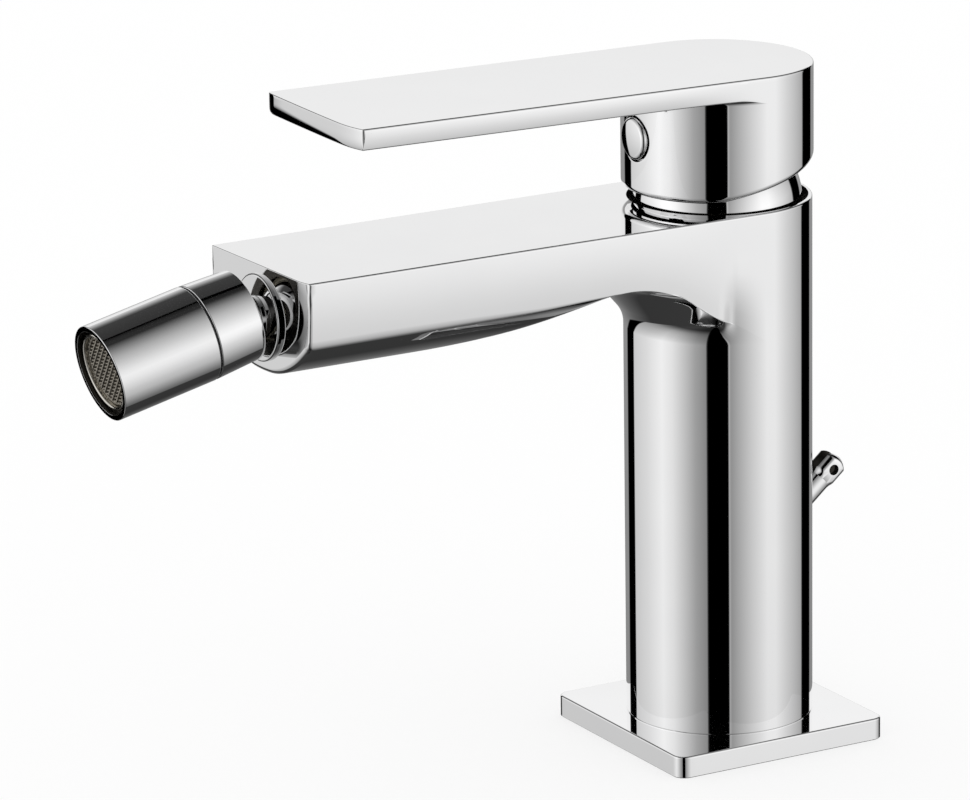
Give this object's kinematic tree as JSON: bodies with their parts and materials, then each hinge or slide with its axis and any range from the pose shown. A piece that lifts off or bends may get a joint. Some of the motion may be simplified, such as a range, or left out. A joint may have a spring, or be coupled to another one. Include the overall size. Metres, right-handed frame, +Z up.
{
  "type": "bidet mixer",
  "caption": "Chrome bidet mixer with a round column on a square plate, a flat spout, a ball-jointed aerator nozzle and a flat single lever over a ceramic cartridge.",
  "frame": {"origin": "centre of the column's open well, at the underside of the base plate", "axes": "+Z up along the column's axis, +X to the right of someone who faces the tap, -Y out along the spout"},
  "size_m": [0.0566, 0.1965, 0.1633],
  "materials": {
    "chrome": "mirror-polished chrome plate on cast or turned brass",
    "brass": "bare turned brass",
    "steel": "plain stainless steel",
    "black_rubber": "moulded black rubber",
    "white_plastic": "moulded white plastic",
    "grey_plastic": "moulded grey plastic",
    "ivory_plastic": "smooth bearing plastic",
    "ceramic": "lapped alumina ceramic"
  },
  "bodies": {
    "tap_body": {"body": "chrome", "base_plate": "chrome", "base_gasket": "black_rubber", "chain_stay": "chrome", "cartridge_base": "white_plastic", "port_seals": "black_rubber", "cartridge_housing": "white_plastic", "fixed_disc": "ceramic", "cartridge_nut": "brass", "collar": "chrome", "ball_stud": "chrome", "stud_oring": "black_rubber"},
    "turret": {"turret": "grey_plastic", "spindle_pin": "steel"},
    "lever": {"handle": "chrome", "grub_screw": "steel", "handle_plug": "chrome", "spindle": "brass"},
    "disc": {"disc_carrier": "grey_plastic", "moving_disc": "ceramic"},
    "seat_rear": {"ball_seat_rear": "ivory_plastic"},
    "seat_front": {"ball_seat_front": "ivory_plastic"},
    "nozzle": {"nozzle_cap": "chrome", "nozzle_sleeve": "chrome", "nozzle_ring": "black_rubber", "aerator_washer": "black_rubber", "aerator_housing": "chrome", "aerator_diffuser": "white_plastic", "aerator_screen": "steel"}
  },
  "joints": [
    {"name": "lever_turn", "type": "hinge", "parent": "tap_body", "child": "turret", "pos_m": [0, 0, 0.128], "axis": [0, 0, 1], "range_deg": [-45, 45]},
    {"name": "lever_lift", "type": "hinge", "parent": "turret", "child": "lever", "pos_m": [0, 0, 0.128], "axis": [-1, 0, 0], "range_deg": [0, 20]},
    {"name": "disc_slide", "type": "slide", "parent": "turret", "child": "disc", "axis": [0, -1, 0], "range_m": [0, 0.00445]},
    {"name": "nozzle_pitch", "type": "hinge", "parent": "tap_body", "child": "seat_rear", "pos_m": [0, -0.1298, 0.1179], "axis": [-1, 0, 0], "range_deg": [-4.8, 25.2]},
    {"name": "nozzle_yaw", "type": "hinge", "parent": "seat_rear", "child": "seat_front", "pos_m": [0, -0.1298, 0.1179], "axis": [0, -0.2283, 0.9736], "range_deg": [-12, 12]},
    {"name": "nozzle_spin", "type": "hinge", "parent": "seat_front", "child": "nozzle", "pos_m": [0, -0.1298, 0.1179], "axis": [0, -0.9736, -0.2283], "continuous": true}
  ],
  "couplings": [
    {"joint": "disc_slide", "follows": "lever_lift", "m_per_rad": 0.012738}
  ]
}
